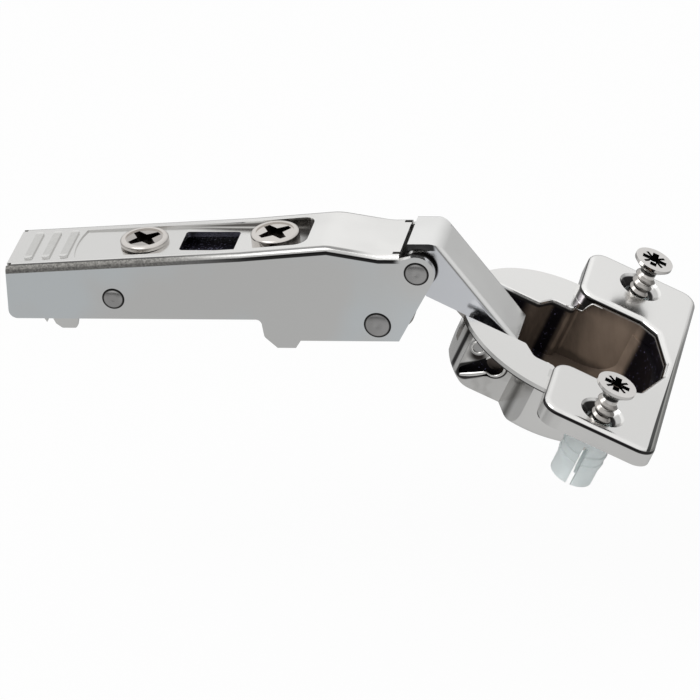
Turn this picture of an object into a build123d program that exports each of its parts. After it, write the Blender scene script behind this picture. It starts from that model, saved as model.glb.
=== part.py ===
"""Concealed cabinet hinge with a clip-on arm, drawn at its widest opening. Millimetres, +Z up.

The origin lies on the plane of the arm's lower edges, under the depth cam screw.
X runs along the arm towards the door, Y along the pivot pins, Z away from the cabinet side.
"""
import math
import os

from build123d import *

os.makedirs("parts", exist_ok=True)

# Fits between pieces
running_fit = 0.05
press_fit = 0.01
wall_gap = 0.25
thread_gap = 0.10

# Arm channel, folded from sheet
sheet = 1.0
arm_width = 14.6
fold_r = 1.1
rear_x = -23.1
rear_top = 9.9
rear_lean = 0.5
bend_x = 18.1
bend_top = 12.4
hump_x = 33.2
hump_top = 13.75
dip_x = 42.0
dip_top = 12.15
plate_end = 45.6
curve_r = 10.0
corner_r = 1.5
belly_z = -4.0
belly_front = 44.3
tab_z = -5.4
tab_front = 26.3
tab_rear = 23.1
tab_ramp = 0.95
neck_x = 21.0
neck_z = -3.3
step_x = 20.7
step_r = 1.0
flap_height = 4.5
relief = 0.8
ear_r = 3.1

# Pressed features of the arm's top
rail_width = 2.15
trough_rear = -11.3
trough_front = 29.3
trough_corner = 2.2
crease_bow = 0.7
trough_step = 0.25
floor_z = 11.25
window_rear = 6.7
window_front = 16.25
window_width = 6.92
window_corner = 0.6
ridge_first = -19.7
ridge_pitch = 3.15
ridge_count = 3
ridge_width = 1.45
ridge_length = 9.6
ridge_height = 0.3

# Pivots in the arm, X and Z
outer_pivot = (48.39, 8.85)
inner_pivot = (40.86, -0.90)
lever_pivot = (-4.71, 3.87)
outer_pin_r = 1.95
inner_pin_r = 2.15
inner_pin_waist_r = 1.5
lever_pin_r = 1.75
lever_pin_waist_r = 1.2
pin_proud = 0.12

# Adjusting screws
screw_head_r = 4.2
cam_head_height = 0.85
cam_neck_r = 3.2
cam_disc_r = 3.0
cam_throw = 1.4
cam_disc_height = 1.7
cam_slide = 1.2
overlay_x = 23.0
overlay_head_height = 2.0
overlay_shank_r = 2.0
overlay_length = 7.5
recess_width = 1.1
recess_turn = 40.0
recess_flare = 1.9
recess_length = 5.8
recess_depth = 1.3
dish_r = 3.3
dish_depth = 0.2

# Carriage inside the arm
carriage_sheet = 1.0
carriage_top = 8.8
carriage_rear = -18.4
carriage_front = 27.0
carriage_foot = 1.0
carriage_plate_rear = -8.5
hook_drop = 2.6

# Clip lever
lever_sheet = 1.0
lever_side_gap = 0.55
lever_hub_r = 2.6
lever_tail_x = -20.4
lever_lug_z = -3.3
lever_tooth_z = -2.2
lever_wire = 0.9

# Cup, in its own frame: origin at the cup's centre on the door face, Z out of the door
opening_shown = 118.0
cup_x = 71.02
cup_z = -7.56
cup_sheet = 0.9
pot_r = 17.4
pot_depth = 10.6
pot_floor = 1.0
pot_bottom_r = 4.5
nose_flat = 0.5
nose_width = 19.2
nose_bottom_r = 2.5
shoulder_x = -5.8
shoulder_run = 3.8
rim_lip = 1.4
slot_width = 14.6
throat_x = -3.8
throat_width = 20.4
mouth_rear = 0.8
mouth_front = 17.5
mouth_width = 24.4
mouth_chamfer_x = 11.5
mouth_corner_x = 14.6
mouth_corner_width = 21.0
mouth_tip_width = 9.8
mouth_round = 1.0
rim_lips = ((0.5, 18.0), (0.25, 52.0))
notch_width = 11.6
notch_z = -5.4
wing_rear = -0.5
wing_front = 19.85
wing_margin = 5.5
wing_height = 3.56
wing_corner = 3.0
wing_edge_r = 1.05
outer_pin_inset = 8.29
outer_pin_depth = 4.63
inner_pin_inset = 4.46
inner_pin_depth = 2.63
cup_pin_r = 1.5
pocket_r = 1.95
pocket_tip_inset = 4.1
pocket_tip_depth = 7.9
pocket_tip_r = 1.0
pocket_depth = 1.5

# Cup fixing
fixing_spacing = 45.0
fixing_x = 9.5
dowel_r = 4.0
dowel_barb = 0.14
dowel_length = 12.4
dowel_seat = 2.0
dowel_barbs = 3
dowel_barb_pitch = 1.7
dowel_slit = 0.9
boss_r = 5.2
dimple_r = 3.9
dowel_flare = 1.0
cup_screw_r = 1.9
cup_screw_core_r = 1.45
cup_screw_head_r = 3.43
cup_screw_head_height = 2.3
cup_screw_top = 9.56
cup_screw_length = 14.0
cup_screw_tip = 2.2
cup_recess_width = 1.15
cup_recess_length = 4.4
cup_recess_depth = 1.7
cup_tick_width = 0.55
cup_tick_length = 4.6
cup_tick_depth = 0.5

# Links
link_sheet = 1.2
washer_room = 1.07
link_corner = (52.0, 13.4)
link_slope = 56.5
link_leg = 22.0
link_tongue = 5.15
link_bend_r = 3.2
link_fold_r = 1.0
link_ear_r = 3.0
link_eye_r = 2.5
link_edge_start = (49.25, 3.64)
link_edge_end = (56.0, -0.05)
pin_clearance = 0.4
inner_link_width = 6.8
inner_link_bar = 3.0
inner_link_eye_r = 2.4
inner_link_knee_rear = (46.6, 4.5)
inner_link_knee_front = (51.75, 5.45)
slot_reach = 2.85
slot_tilt = 19.0
slot_shift = (1.4, 0.05)
slot_spare = 0.6
slot_wall = 0.9

# Closing spring, a folded leaf in the front of the arm
leaf_thickness = 0.8
leaf_width = 8.0
leaf_front = 38.4
leaf_rear = 30.2
leaf_top_gap = 0.15
leaf_foot = (34.2, 0.2)
leaf_bend_r = 2.4

# Shared values worked out from the sizes above
half = arm_width / 2
inner_half = half - sheet
trough_width = arm_width - 2 * rail_width
carriage_half = inner_half - wall_gap
lever_half = carriage_half - carriage_sheet - lever_side_gap
link_width = 2 * (inner_half - washer_room)
tilt = math.radians(opening_shown - 90)
cup_dx = (math.cos(tilt), 0, -math.sin(tilt))
cup_dz = (math.sin(tilt), 0, math.cos(tilt))
cup_plane = Plane(origin=(cup_x, 0, cup_z), x_dir=cup_dx, z_dir=cup_dz)
cup_side = Plane(origin=(cup_x, 0, cup_z), x_dir=cup_dx, z_dir=(0, -1, 0))
cup_axis = Axis((cup_x, 0, cup_z), cup_dz)
rail_points = [(rear_x, rear_top), (bend_x, bend_top), (hump_x, hump_top), (dip_x, dip_top)]
eps = 0.001
nose_end = nose_flat - pot_r
rim_r = pot_r + rim_lip
outer_cup_pin = (outer_pin_inset - pot_r, -outer_pin_depth)
inner_cup_pin = (inner_pin_inset - pot_r, -inner_pin_depth)
pocket_tip = (pocket_tip_inset - pot_r, -pocket_tip_depth)
wing_span = fixing_spacing + 2 * wing_margin


def rail_height(x):
    """Height of the arm's top edge at x, along the straight runs between the rail points."""
    for (x0, z0), (x1, z1) in zip(rail_points, rail_points[1:]):
        if x <= x1:
            return z0 + (z1 - z0) * (x - x0) / (x1 - x0)
    return dip_top


def floor_height(x):
    """Height of the trough's floor at x: along the rails at first, then level past the window."""
    start = rail_height(trough_rear) - trough_step
    return min(floor_z, start + (floor_z - start) * (x - trough_rear) / (window_rear - trough_rear))


def from_cup(x, z):
    """A point of the cup's own X-Z plane, as X and Z of the arm's frame."""
    point = cup_side.from_local_coords(Vector(x, z, 0))
    return (point.X, point.Z)


def tangent_point(start, centre, radius, side):
    """Where a line from start touches a circle; side is +1 or -1 for the left or right touch."""
    dx = centre[0] - start[0]
    dz = centre[1] - start[1]
    angle = math.atan2(dz, dx) + side * math.asin(radius / math.hypot(dx, dz))
    reach = math.sqrt(dx * dx + dz * dz - radius * radius)
    return (start[0] + reach * math.cos(angle), start[1] + reach * math.sin(angle))


def finish(builder, name):
    """Label a finished piece and write it to its own file."""
    builder.part.label = name
    export_step(builder.part, f"parts/{name}.step")


# Trough pressed into the arm's top, as the space above its floor
with BuildPart() as trough:
    with BuildSketch(Plane.XY):
        with BuildLine():
            ThreePointArc(
                (trough_rear, -trough_width / 2),
                (trough_rear - crease_bow, 0),
                (trough_rear, trough_width / 2),
            )
            Polyline(
                (trough_rear, trough_width / 2),
                (trough_front, trough_width / 2),
                (trough_front, -trough_width / 2),
                (trough_rear, -trough_width / 2),
            )
        make_face()
        front_corners = vertices().group_by(Axis.X)[-1]
        fillet(front_corners, trough_corner)
    extrude(amount=hump_top + sheet)
    with BuildSketch(Plane.XZ):
        with BuildLine():
            Polyline(
                (trough_rear - 2 * crease_bow, floor_height(trough_rear - 2 * crease_bow)),
                (window_rear, floor_z),
                (trough_front + sheet, floor_z),
                (trough_front + sheet, hump_top + 2 * sheet),
                (trough_rear - 2 * crease_bow, hump_top + 2 * sheet),
                close=True,
            )
        make_face()
    extrude(amount=half, both=True, mode=Mode.INTERSECT)

# Hinge arm: a folded channel with pressed top, rear flap and two pivot ears
slant_top = tangent_point((belly_front, belly_z), outer_pivot, ear_r, -1)
slant_run = (slant_top[1] - belly_z) / (slant_top[0] - belly_front)
with BuildPart() as hinge_arm:
    with BuildSketch(Plane.XZ):
        with BuildLine():
            Polyline(
                *rail_points,
                (plate_end, dip_top),
                (plate_end, belly_z + slant_run * (plate_end - belly_front)),
                (belly_front, belly_z),
                (tab_front + tab_ramp, belly_z),
                (tab_front, tab_z),
                (tab_rear, tab_z),
                (neck_x, neck_z),
                (step_x, 0),
                (rear_x - rear_lean, 0),
                close=True,
            )
        make_face()
        on_curve = vertices().filter_by(
            lambda v: abs(v.X - hump_x) < eps or (abs(v.X - dip_x) < eps and v.Y > 0)
        )
        fillet(on_curve, curve_r)
        rear_corner = vertices().group_by(Axis.X)[0].sort_by(Axis.Y)[0]
        fillet(rear_corner, corner_r)
        step_corners = vertices().filter_by(
            lambda v: abs(v.X - step_x) < eps or (abs(v.X - neck_x) < eps and v.Y < 0)
        )
        fillet(step_corners, step_r)
    extrude(amount=half, both=True)
    top_edges = edges().filter_by(
        lambda e: abs(abs(e.center().Y) - half) < eps
        and e.center().Z > rear_top - eps
        and abs(e.tangent_at(0.5).X) > 0.5
    )
    fillet(top_edges, fold_r)
    with BuildSketch(Plane.XZ):
        with BuildLine():
            Polyline(
                (rear_x + sheet, rail_height(rear_x + sheet) - sheet),
                *[(x, z - sheet) for x, z in rail_points[1:]],
                (plate_end + 2 * ear_r + half, dip_top - sheet),
                (plate_end + 2 * ear_r + half, tab_z - sheet),
                (rear_x - sheet, tab_z - sheet),
                (rear_x - sheet, rear_top - flap_height),
                (rear_x + sheet, rear_top - flap_height),
                close=True,
            )
        make_face()
        under_curve = vertices().filter_by(lambda v: abs(v.X - hump_x) < eps or abs(v.X - dip_x) < eps)
        fillet(under_curve, curve_r)
    extrude(amount=inner_half, both=True, mode=Mode.SUBTRACT)
    with BuildSketch(Plane.XZ):
        with BuildLine():
            pan_rear = trough_rear - crease_bow - sheet
            pan_front = trough_front + sheet
            Polyline(
                (pan_rear, rail_height(pan_rear) - sheet / 2),
                (bend_x, bend_top - sheet / 2),
                (pan_front, rail_height(pan_front) - sheet / 2),
                (pan_front, floor_z - sheet),
                (window_rear, floor_z - sheet),
                (pan_rear, floor_height(pan_rear) - sheet),
                close=True,
            )
        make_face()
    extrude(amount=(trough_width + sheet) / 2, both=True)
    add(trough.part, mode=Mode.SUBTRACT)
    rail_angle = math.atan2(bend_top - rear_top, bend_x - rear_x)
    for i in range(ridge_count):
        ridge_x = ridge_first + i * ridge_pitch
        ridge_plane = Plane(
            origin=(ridge_x, 0, rail_height(ridge_x)),
            x_dir=(math.cos(rail_angle), 0, math.sin(rail_angle)),
            z_dir=(-math.sin(rail_angle), 0, math.cos(rail_angle)),
        )
        with BuildSketch(ridge_plane):
            RectangleRounded(ridge_width, ridge_length, ridge_width / 3)
        extrude(amount=ridge_height, both=True)
    with BuildSketch(Plane.XY.offset(floor_z - 2 * sheet)):
        with Locations(((window_rear + window_front) / 2, 0)):
            RectangleRounded(window_front - window_rear, window_width, window_corner)
        Circle(cam_neck_r + running_fit)
        with Locations((overlay_x, 0)):
            Circle(overlay_shank_r + thread_gap)
    extrude(amount=4 * sheet, mode=Mode.SUBTRACT)
    with BuildSketch(Plane.XY.offset(rear_top - 2 * sheet)):
        with Locations((rear_x, inner_half), (rear_x, -inner_half)):
            Rectangle(2 * relief, relief)
        with Locations((plate_end, inner_half - relief / 2), (plate_end, -inner_half + relief / 2)):
            Rectangle(3 * relief, relief)
    extrude(amount=5 * sheet, mode=Mode.SUBTRACT)
    with BuildSketch(Plane.XZ.offset(inner_half)):
        with BuildLine():
            ear_root = plate_end - 2 * ear_r
            Polyline(
                (ear_root, belly_z),
                (belly_front, belly_z),
                slant_top,
                outer_pivot,
                (outer_pivot[0], outer_pivot[1] + ear_r),
                (plate_end, dip_top - relief),
                (ear_root, dip_top - fold_r - relief),
                close=True,
            )
        make_face()
        with Locations(outer_pivot):
            Circle(ear_r)
    extrude(amount=sheet)
    mirror(about=Plane.XZ)
    with BuildSketch(Plane.XZ):
        with Locations(outer_pivot):
            Circle(outer_pin_r + press_fit)
        with Locations(inner_pivot):
            Circle(inner_pin_r + press_fit)
        with Locations(lever_pivot):
            Circle(lever_pin_r + press_fit)
    extrude(amount=half + sheet, both=True, mode=Mode.SUBTRACT)
finish(hinge_arm, "hinge_arm")

# Carriage: the inner channel that hooks to the mounting plate and slides for depth
with BuildPart() as carriage:
    with BuildSketch(Plane.XZ):
        with BuildLine():
            Polyline(
                (carriage_rear, carriage_foot),
                (carriage_rear, carriage_top - 3 * carriage_sheet),
                (carriage_plate_rear, carriage_top),
                (carriage_front, carriage_top),
                (carriage_front, carriage_foot - hook_drop - carriage_sheet),
                (carriage_front - 2 * hook_drop, carriage_foot - hook_drop - carriage_sheet),
                (carriage_front - 2 * hook_drop, carriage_foot - hook_drop),
                (carriage_front - hook_drop, carriage_foot - hook_drop + carriage_sheet),
                (carriage_front - hook_drop, carriage_foot + hook_drop / 2),
                (carriage_front - 3 * hook_drop, carriage_foot + hook_drop / 2),
                (carriage_front - 3 * hook_drop, carriage_foot),
                close=True,
            )
        make_face()
    extrude(amount=carriage_half, both=True)
    with BuildSketch(Plane.XZ):
        with BuildLine():
            Polyline(
                (carriage_rear - sheet, tab_z),
                (carriage_rear - sheet, carriage_top + sheet),
                (carriage_plate_rear, carriage_top + sheet),
                (carriage_plate_rear, carriage_top - carriage_sheet),
                (carriage_front + sheet, carriage_top - carriage_sheet),
                (carriage_front + sheet, tab_z),
                close=True,
            )
        make_face()
    extrude(amount=carriage_half - carriage_sheet, both=True, mode=Mode.SUBTRACT)
    with BuildSketch(Plane.XY.offset(carriage_top - 2 * carriage_sheet)):
        Rectangle(2 * cam_disc_r + 2 * thread_gap, 2 * (carriage_half - carriage_sheet) - wall_gap)
        with Locations((overlay_x, 0)):
            slot_room = overlay_shank_r + thread_gap
            SlotCenterToCenter(2 * cam_slide + 2 * thread_gap, 2 * slot_room)
    extrude(amount=4 * carriage_sheet, mode=Mode.SUBTRACT)
    with BuildSketch(Plane.XZ):
        with Locations(lever_pivot):
            SlotCenterToCenter(2 * cam_slide + 2 * thread_gap, 2 * (lever_pin_waist_r + thread_gap))
    extrude(amount=half, both=True, mode=Mode.SUBTRACT)
finish(carriage, "carriage")

# Outline of the cross recess in the adjusting screws: four arms that widen to the middle
recess_points = []
for turn in range(4):
    arm_angle = math.radians(recess_turn + 90 * turn)
    arm_dx = math.cos(arm_angle)
    arm_dy = math.sin(arm_angle)
    for along, across in (
        (recess_flare / 2, -recess_flare / 2),
        (recess_length / 2, -recess_width / 2),
        (recess_length / 2, recess_width / 2),
    ):
        recess_points.append((along * arm_dx - across * arm_dy, along * arm_dy + across * arm_dx))

# Depth cam screw: flanged head, neck in the arm's trough, eccentric disc in the carriage's slot
cam_seat = floor_height(screw_head_r)
with BuildPart() as depth_cam_screw:
    with BuildSketch(Plane.XY.offset(cam_seat)):
        Circle(screw_head_r)
    extrude(amount=cam_head_height)
    fillet(edges().group_by(Axis.Z)[-1], cam_head_height / 2)
    with BuildSketch(Plane.XY.offset(cam_seat)):
        Circle(cam_neck_r)
    extrude(amount=carriage_top + wall_gap - cam_seat)
    with BuildSketch(Plane.XY.offset(carriage_top + wall_gap)):
        with Locations((0, -cam_throw)):
            Circle(cam_disc_r)
    extrude(amount=-cam_disc_height)
    with BuildSketch(Plane.XY.offset(cam_seat + cam_head_height)):
        Circle(dish_r)
    extrude(amount=-dish_depth, mode=Mode.SUBTRACT)
    with BuildSketch(Plane.XY.offset(cam_seat + cam_head_height)):
        with BuildLine():
            Polyline(*recess_points, close=True)
        make_face()
    extrude(amount=-recess_depth, mode=Mode.SUBTRACT)
finish(depth_cam_screw, "depth_cam_screw")

# Overlay screw: cheese head standing in the trough, shank through the carriage
with BuildPart() as overlay_screw:
    overlay_plane = Plane(origin=(overlay_x, 0, floor_z))
    with BuildSketch(overlay_plane):
        Circle(screw_head_r)
    extrude(amount=overlay_head_height)
    fillet(edges().group_by(Axis.Z)[-1], cam_head_height / 2)
    with BuildSketch(overlay_plane):
        Circle(overlay_shank_r)
    extrude(amount=-overlay_length)
    chamfer(edges().group_by(Axis.Z)[0], overlay_shank_r / 4)
    with BuildSketch(overlay_plane.offset(overlay_head_height)):
        Circle(dish_r)
    extrude(amount=-dish_depth, mode=Mode.SUBTRACT)
    with BuildSketch(overlay_plane.offset(overlay_head_height)):
        with BuildLine():
            Polyline(*recess_points, close=True)
        make_face()
    extrude(amount=-recess_depth, mode=Mode.SUBTRACT)
finish(overlay_screw, "overlay_screw")

# Clip lever: two cheeks with a hook lug each, joined by a press tab at the tail
with BuildPart() as clip_lever:
    with BuildSketch(Plane.XZ.offset(lever_half - lever_sheet)):
        with BuildLine():
            Polyline(
                (lever_pivot[0], lever_pivot[1] + lever_hub_r),
                (lever_tail_x, lever_pivot[1] + lever_hub_r / 2),
                (lever_tail_x, lever_pivot[1] - lever_hub_r),
                (lever_tail_x + lever_hub_r / 2, 0),
                (lever_tail_x + lever_hub_r, lever_tooth_z),
                (lever_tail_x + 1.2 * lever_hub_r, 0),
                (lever_tail_x + 1.6 * lever_hub_r, 0.75 * lever_lug_z),
                (lever_tail_x + 2 * lever_hub_r, lever_lug_z),
                (lever_tail_x + 3 * lever_hub_r, lever_lug_z),
                (lever_tail_x + 3.3 * lever_hub_r, 0),
                (lever_pivot[0], lever_pivot[1] - lever_hub_r),
                close=True,
            )
        make_face()
        lug_corners = vertices().group_by(Axis.Y)[0]
        fillet(lug_corners, lever_sheet / 2)
        with Locations(lever_pivot):
            Circle(lever_hub_r)
            Circle(lever_pin_waist_r + running_fit, mode=Mode.SUBTRACT)
    extrude(amount=lever_sheet)
    mirror(about=Plane.XZ)
    with BuildSketch(Plane.XZ):
        with Locations((lever_tail_x + lever_sheet / 2, lever_pivot[1] - lever_hub_r / 4)):
            Rectangle(lever_sheet, 1.5 * lever_hub_r)
    extrude(amount=lever_half, both=True)
finish(clip_lever, "clip_lever")

# Riveted cross pins of the arm: a head in each wall and a waist between them
arm_pins = (
    ("clip_lever_pin", lever_pivot, lever_pin_r, lever_pin_waist_r),
    ("outer_link_pin", outer_pivot, outer_pin_r, outer_pin_r),
    ("inner_link_pin", inner_pivot, inner_pin_r, inner_pin_waist_r),
)
for pin_name, pivot, head_r, waist_r in arm_pins:
    with BuildPart() as arm_pin:
        with BuildSketch(Plane.XZ.offset(inner_half)):
            with Locations(pivot):
                Circle(head_r)
        extrude(amount=sheet + pin_proud)
        mirror(about=Plane.XZ)
        with BuildSketch(Plane.XZ):
            with Locations(pivot):
                Circle(waist_r)
        extrude(amount=half, both=True)
    finish(arm_pin, pin_name)

# Clip spring: a close-wound torsion coil on the lever pin with a leg under the carriage plate
coil_half = lever_half - lever_sheet - wall_gap
coil_r = lever_pin_waist_r + running_fit + lever_wire / 2
with BuildPart() as clip_spring:
    with BuildSketch(Plane.XZ):
        with Locations(lever_pivot):
            Circle(coil_r + lever_wire / 2)
            Circle(coil_r - lever_wire / 2, mode=Mode.SUBTRACT)
    extrude(amount=coil_half, both=True)
    leg_x = lever_pivot[0] - coil_r
    with BuildSketch(Plane.XY.offset(lever_pivot[1])):
        with Locations((leg_x, 0)):
            Circle(lever_wire / 2)
    extrude(amount=carriage_top - carriage_sheet - wall_gap - lever_pivot[1])
finish(clip_spring, "clip_spring")

# Outer link: an inverted U of sheet with a short tongue, a sloping web and two side flanges
slope = math.radians(link_slope)
down = (math.cos(slope), -math.sin(slope))
link_half = link_width / 2
link_inner_half = link_half - link_sheet
corner_in = (link_corner[0] - link_sheet * math.tan(slope / 2), link_corner[1] - link_sheet)
tongue_x = link_corner[0] - link_tongue
web_end = (link_corner[0] + link_leg * down[0], link_corner[1] + link_leg * down[1])
web_end_in = (web_end[0] + link_sheet * down[1], web_end[1] - link_sheet * down[0])
flange_top = (link_corner[0] + link_sheet * down[0], link_corner[1] + link_sheet * down[1])
cup_pin_out = from_cup(*outer_cup_pin)
cup_pin_in = from_cup(*inner_cup_pin)
pin_room = cup_pin_r + pin_clearance
neck_point = (cup_pin_in[0] - pin_room * down[1], cup_pin_in[1] + pin_room * down[0])
with BuildPart() as outer_link:
    with BuildSketch(Plane.XZ.offset(link_inner_half)):
        with BuildLine():
            Polyline(
                flange_top,
                web_end,
                cup_pin_out,
                (cup_pin_out[0], cup_pin_out[1] + link_eye_r),
                neck_point,
                link_edge_end,
                link_edge_start,
                (outer_pivot[0], outer_pivot[1] - link_ear_r),
                (outer_pivot[0], outer_pivot[1] + link_ear_r),
                close=True,
            )
        make_face()
        with Locations(outer_pivot):
            Circle(link_ear_r)
        with Locations(cup_pin_out):
            Circle(link_eye_r)
        with Locations(outer_pivot):
            Circle(outer_pin_r + running_fit, mode=Mode.SUBTRACT)
        with Locations(cup_pin_out):
            Circle(cup_pin_r + running_fit, mode=Mode.SUBTRACT)
    extrude(amount=link_sheet)
    mirror(about=Plane.XZ)
    with BuildSketch(Plane.XZ):
        with BuildLine():
            Polyline(
                (tongue_x, link_corner[1]),
                link_corner,
                web_end,
                web_end_in,
                corner_in,
                (tongue_x, link_corner[1] - link_sheet),
                close=True,
            )
        make_face()
        outer_bend = vertices().sort_by_distance(Vector(link_corner[0], link_corner[1], 0))[0]
        fillet(outer_bend, link_bend_r)
        inner_bend = vertices().sort_by_distance(Vector(corner_in[0], corner_in[1], 0))[0]
        fillet(inner_bend, link_bend_r - link_sheet)
    extrude(amount=link_half, both=True)
    fold_edges = edges().filter_by(
        lambda e: abs(abs(e.center().Y) - link_half) < eps
        and abs(e.tangent_at(0.5).X * down[1] - e.tangent_at(0.5).Z * down[0]) < eps
        and abs((e.center().X - web_end[0]) * down[1] - (e.center().Z - web_end[1]) * down[0]) < eps
    )
    fillet(fold_edges, link_fold_r)
finish(outer_link, "outer_link")

# Thin washers that centre the outer link between the arm's ears
with BuildPart() as link_washers:
    with BuildSketch(Plane.XZ.offset(link_half + wall_gap / 5)):
        with Locations(outer_pivot):
            Circle(link_ear_r - running_fit)
            Circle(outer_pin_r + running_fit, mode=Mode.SUBTRACT)
    extrude(amount=inner_half - link_half - 2 * wall_gap / 5)
    mirror(about=Plane.XZ)
finish(link_washers, "link_washers")

# Inner link: a bent lever from the cup's inner pin to a long eye round the arm's inner pin
inner_half_width = inner_link_width / 2
slot_centre = (inner_pivot[0] + slot_shift[0], inner_pivot[1] + slot_shift[1])
slot_height = 2 * inner_pin_waist_r + 2 * slot_spare
with BuildPart() as inner_link:
    with BuildSketch(Plane.XZ):
        with BuildLine():
            FilletPolyline(
                slot_centre,
                inner_link_knee_rear,
                inner_link_knee_front,
                cup_pin_in,
                radius=inner_link_bar,
            )
        trace(line_width=inner_link_bar)
        with Locations(cup_pin_in):
            Circle(inner_link_eye_r)
        with Locations(Location((slot_centre[0], slot_centre[1], 0), (0, 0, slot_tilt))):
            SlotCenterToCenter(slot_reach, slot_height + 2 * slot_wall)
            SlotCenterToCenter(slot_reach, slot_height, mode=Mode.SUBTRACT)
        with Locations(cup_pin_in):
            Circle(cup_pin_r + running_fit, mode=Mode.SUBTRACT)
    extrude(amount=inner_half_width, both=True)
finish(inner_link, "inner_link")

# Closing spring: a folded leaf, its upper leg under the arm's top and its lower leg at the inner link
leaf_z = dip_top - sheet - leaf_top_gap - leaf_thickness / 2
with BuildPart() as closing_spring:
    with BuildSketch(Plane.XZ):
        with BuildLine():
            FilletPolyline(
                (leaf_front, leaf_z),
                (leaf_rear, leaf_z),
                (leaf_rear, leaf_foot[1] + leaf_bend_r),
                leaf_foot,
                radius=leaf_bend_r,
            )
        trace(line_width=leaf_thickness)
    extrude(amount=leaf_width / 2, both=True)
finish(closing_spring, "closing_spring")

# Cup: a round pot with a flat-sided nose for the pins, a thin rim and a raised wing plate
nose_half = nose_width / 2
mouth_half = mouth_width / 2
wing_middle = (wing_rear + wing_front) / 2
pot_inner_r = pot_r - cup_sheet
mouth_tip = [
    (mouth_chamfer_x, mouth_half),
    (mouth_corner_x, mouth_corner_width / 2),
    (mouth_front - cup_sheet, mouth_tip_width / 2),
    (mouth_front, mouth_tip_width / 4),
]
mouth_side = [
    (nose_end - 2 * cup_sheet, slot_width / 2),
    (shoulder_x, slot_width / 2),
    (throat_x, throat_width / 2),
    (mouth_rear - cup_sheet, throat_width / 2),
    (mouth_rear, mouth_half),
    *mouth_tip,
]
mouth_points = mouth_side + [(x, -y) for x, y in reversed(mouth_side)]
wing_mouth_side = [(wing_rear - cup_sheet, mouth_half), *mouth_tip]
wing_mouth_points = wing_mouth_side + [(x, -y) for x, y in reversed(wing_mouth_side)]
with BuildSketch(cup_plane) as mouth:
    with BuildLine():
        Polyline(*mouth_points, close=True)
    make_face()
    fillet(vertices().filter_by(lambda v: v.X > nose_end), mouth_round)
with BuildSketch(cup_plane) as wing_plan:
    with Locations((wing_middle, 0)):
        RectangleRounded(wing_front - wing_rear, wing_span, wing_corner)
    with BuildLine():
        Polyline(*wing_mouth_points, close=True)
    make_face(mode=Mode.SUBTRACT)
    wing_tips = vertices().filter_by(lambda v: abs(v.X - wing_rear) < eps and abs(v.Y) < mouth_half + eps)
    fillet(wing_tips, wing_corner)
    mouth_corners = vertices().filter_by(lambda v: v.X > mouth_rear + wing_corner and abs(v.Y) < mouth_half + eps)
    fillet(mouth_corners, mouth_round)
shoulder_plan = [
    (shoulder_x, nose_half),
    (shoulder_x + shoulder_run, pot_r),
    (pot_r, pot_r),
    (pot_r, -pot_r),
    (shoulder_x + shoulder_run, -pot_r),
    (shoulder_x, -nose_half),
]
with BuildPart() as pot:
    with BuildSketch(cup_side):
        with BuildLine():
            Polyline((0, 0), (pot_r, 0), (pot_r, -pot_depth), (0, -pot_depth), close=True)
        make_face()
        bottom_corner = vertices().sort_by_distance(Vector(pot_r, -pot_depth, 0))[0]
        fillet(bottom_corner, pot_bottom_r)
    revolve(axis=cup_axis)
    with BuildSketch(cup_plane):
        with BuildLine():
            Polyline(*shoulder_plan, close=True)
        make_face()
    extrude(amount=-pot_depth, mode=Mode.INTERSECT)

with BuildPart() as nose:
    with BuildSketch(cup_side):
        with BuildLine():
            Polyline((0, 0), (pot_r, 0), (pot_r, -pot_depth), (0, -pot_depth), close=True)
        make_face()
        bottom_corner = vertices().sort_by_distance(Vector(pot_r, -pot_depth, 0))[0]
        fillet(bottom_corner, nose_bottom_r)
    revolve(axis=cup_axis)
    with BuildSketch(cup_plane):
        with Locations(((nose_end + shoulder_x) / 2, 0)):
            Rectangle(shoulder_x - nose_end, nose_width)
    extrude(amount=-pot_depth, mode=Mode.INTERSECT)

with BuildPart() as cavity:
    with BuildSketch(cup_side):
        with BuildLine():
            cavity_depth = pot_depth - pot_floor
            Polyline((0, 0), (pot_inner_r, 0), (pot_inner_r, -cavity_depth), (0, -cavity_depth), close=True)
        make_face()
        bottom_corner = vertices().sort_by_distance(Vector(pot_inner_r, -cavity_depth, 0))[0]
        fillet(bottom_corner, pot_bottom_r - cup_sheet)
    revolve(axis=cup_axis)
    extrude(mouth.sketch, amount=-pot_depth, mode=Mode.INTERSECT)
    with BuildSketch(cup_plane):
        with Locations((nose_end + cup_sheet - rim_r, 0)):
            Rectangle(2 * rim_r, 2 * rim_r)
    extrude(amount=-pot_depth, mode=Mode.SUBTRACT)

with BuildPart() as rim:
    with BuildSketch(cup_plane):
        Circle(rim_r)
        with Locations((nose_end - rim_r - cup_sheet / 2, 0)):
            Rectangle(2 * rim_r, 2 * rim_r, mode=Mode.SUBTRACT)
    extrude(amount=cup_sheet)
    extrude(mouth.sketch, amount=2 * cup_sheet, mode=Mode.SUBTRACT)
    for lip_depth, lip_slope in rim_lips:
        lip_level = Location(cup_plane.z_dir * (cup_sheet - lip_depth))
        extrude(mouth.sketch.moved(lip_level), amount=lip_depth, taper=-lip_slope, mode=Mode.SUBTRACT)

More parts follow.
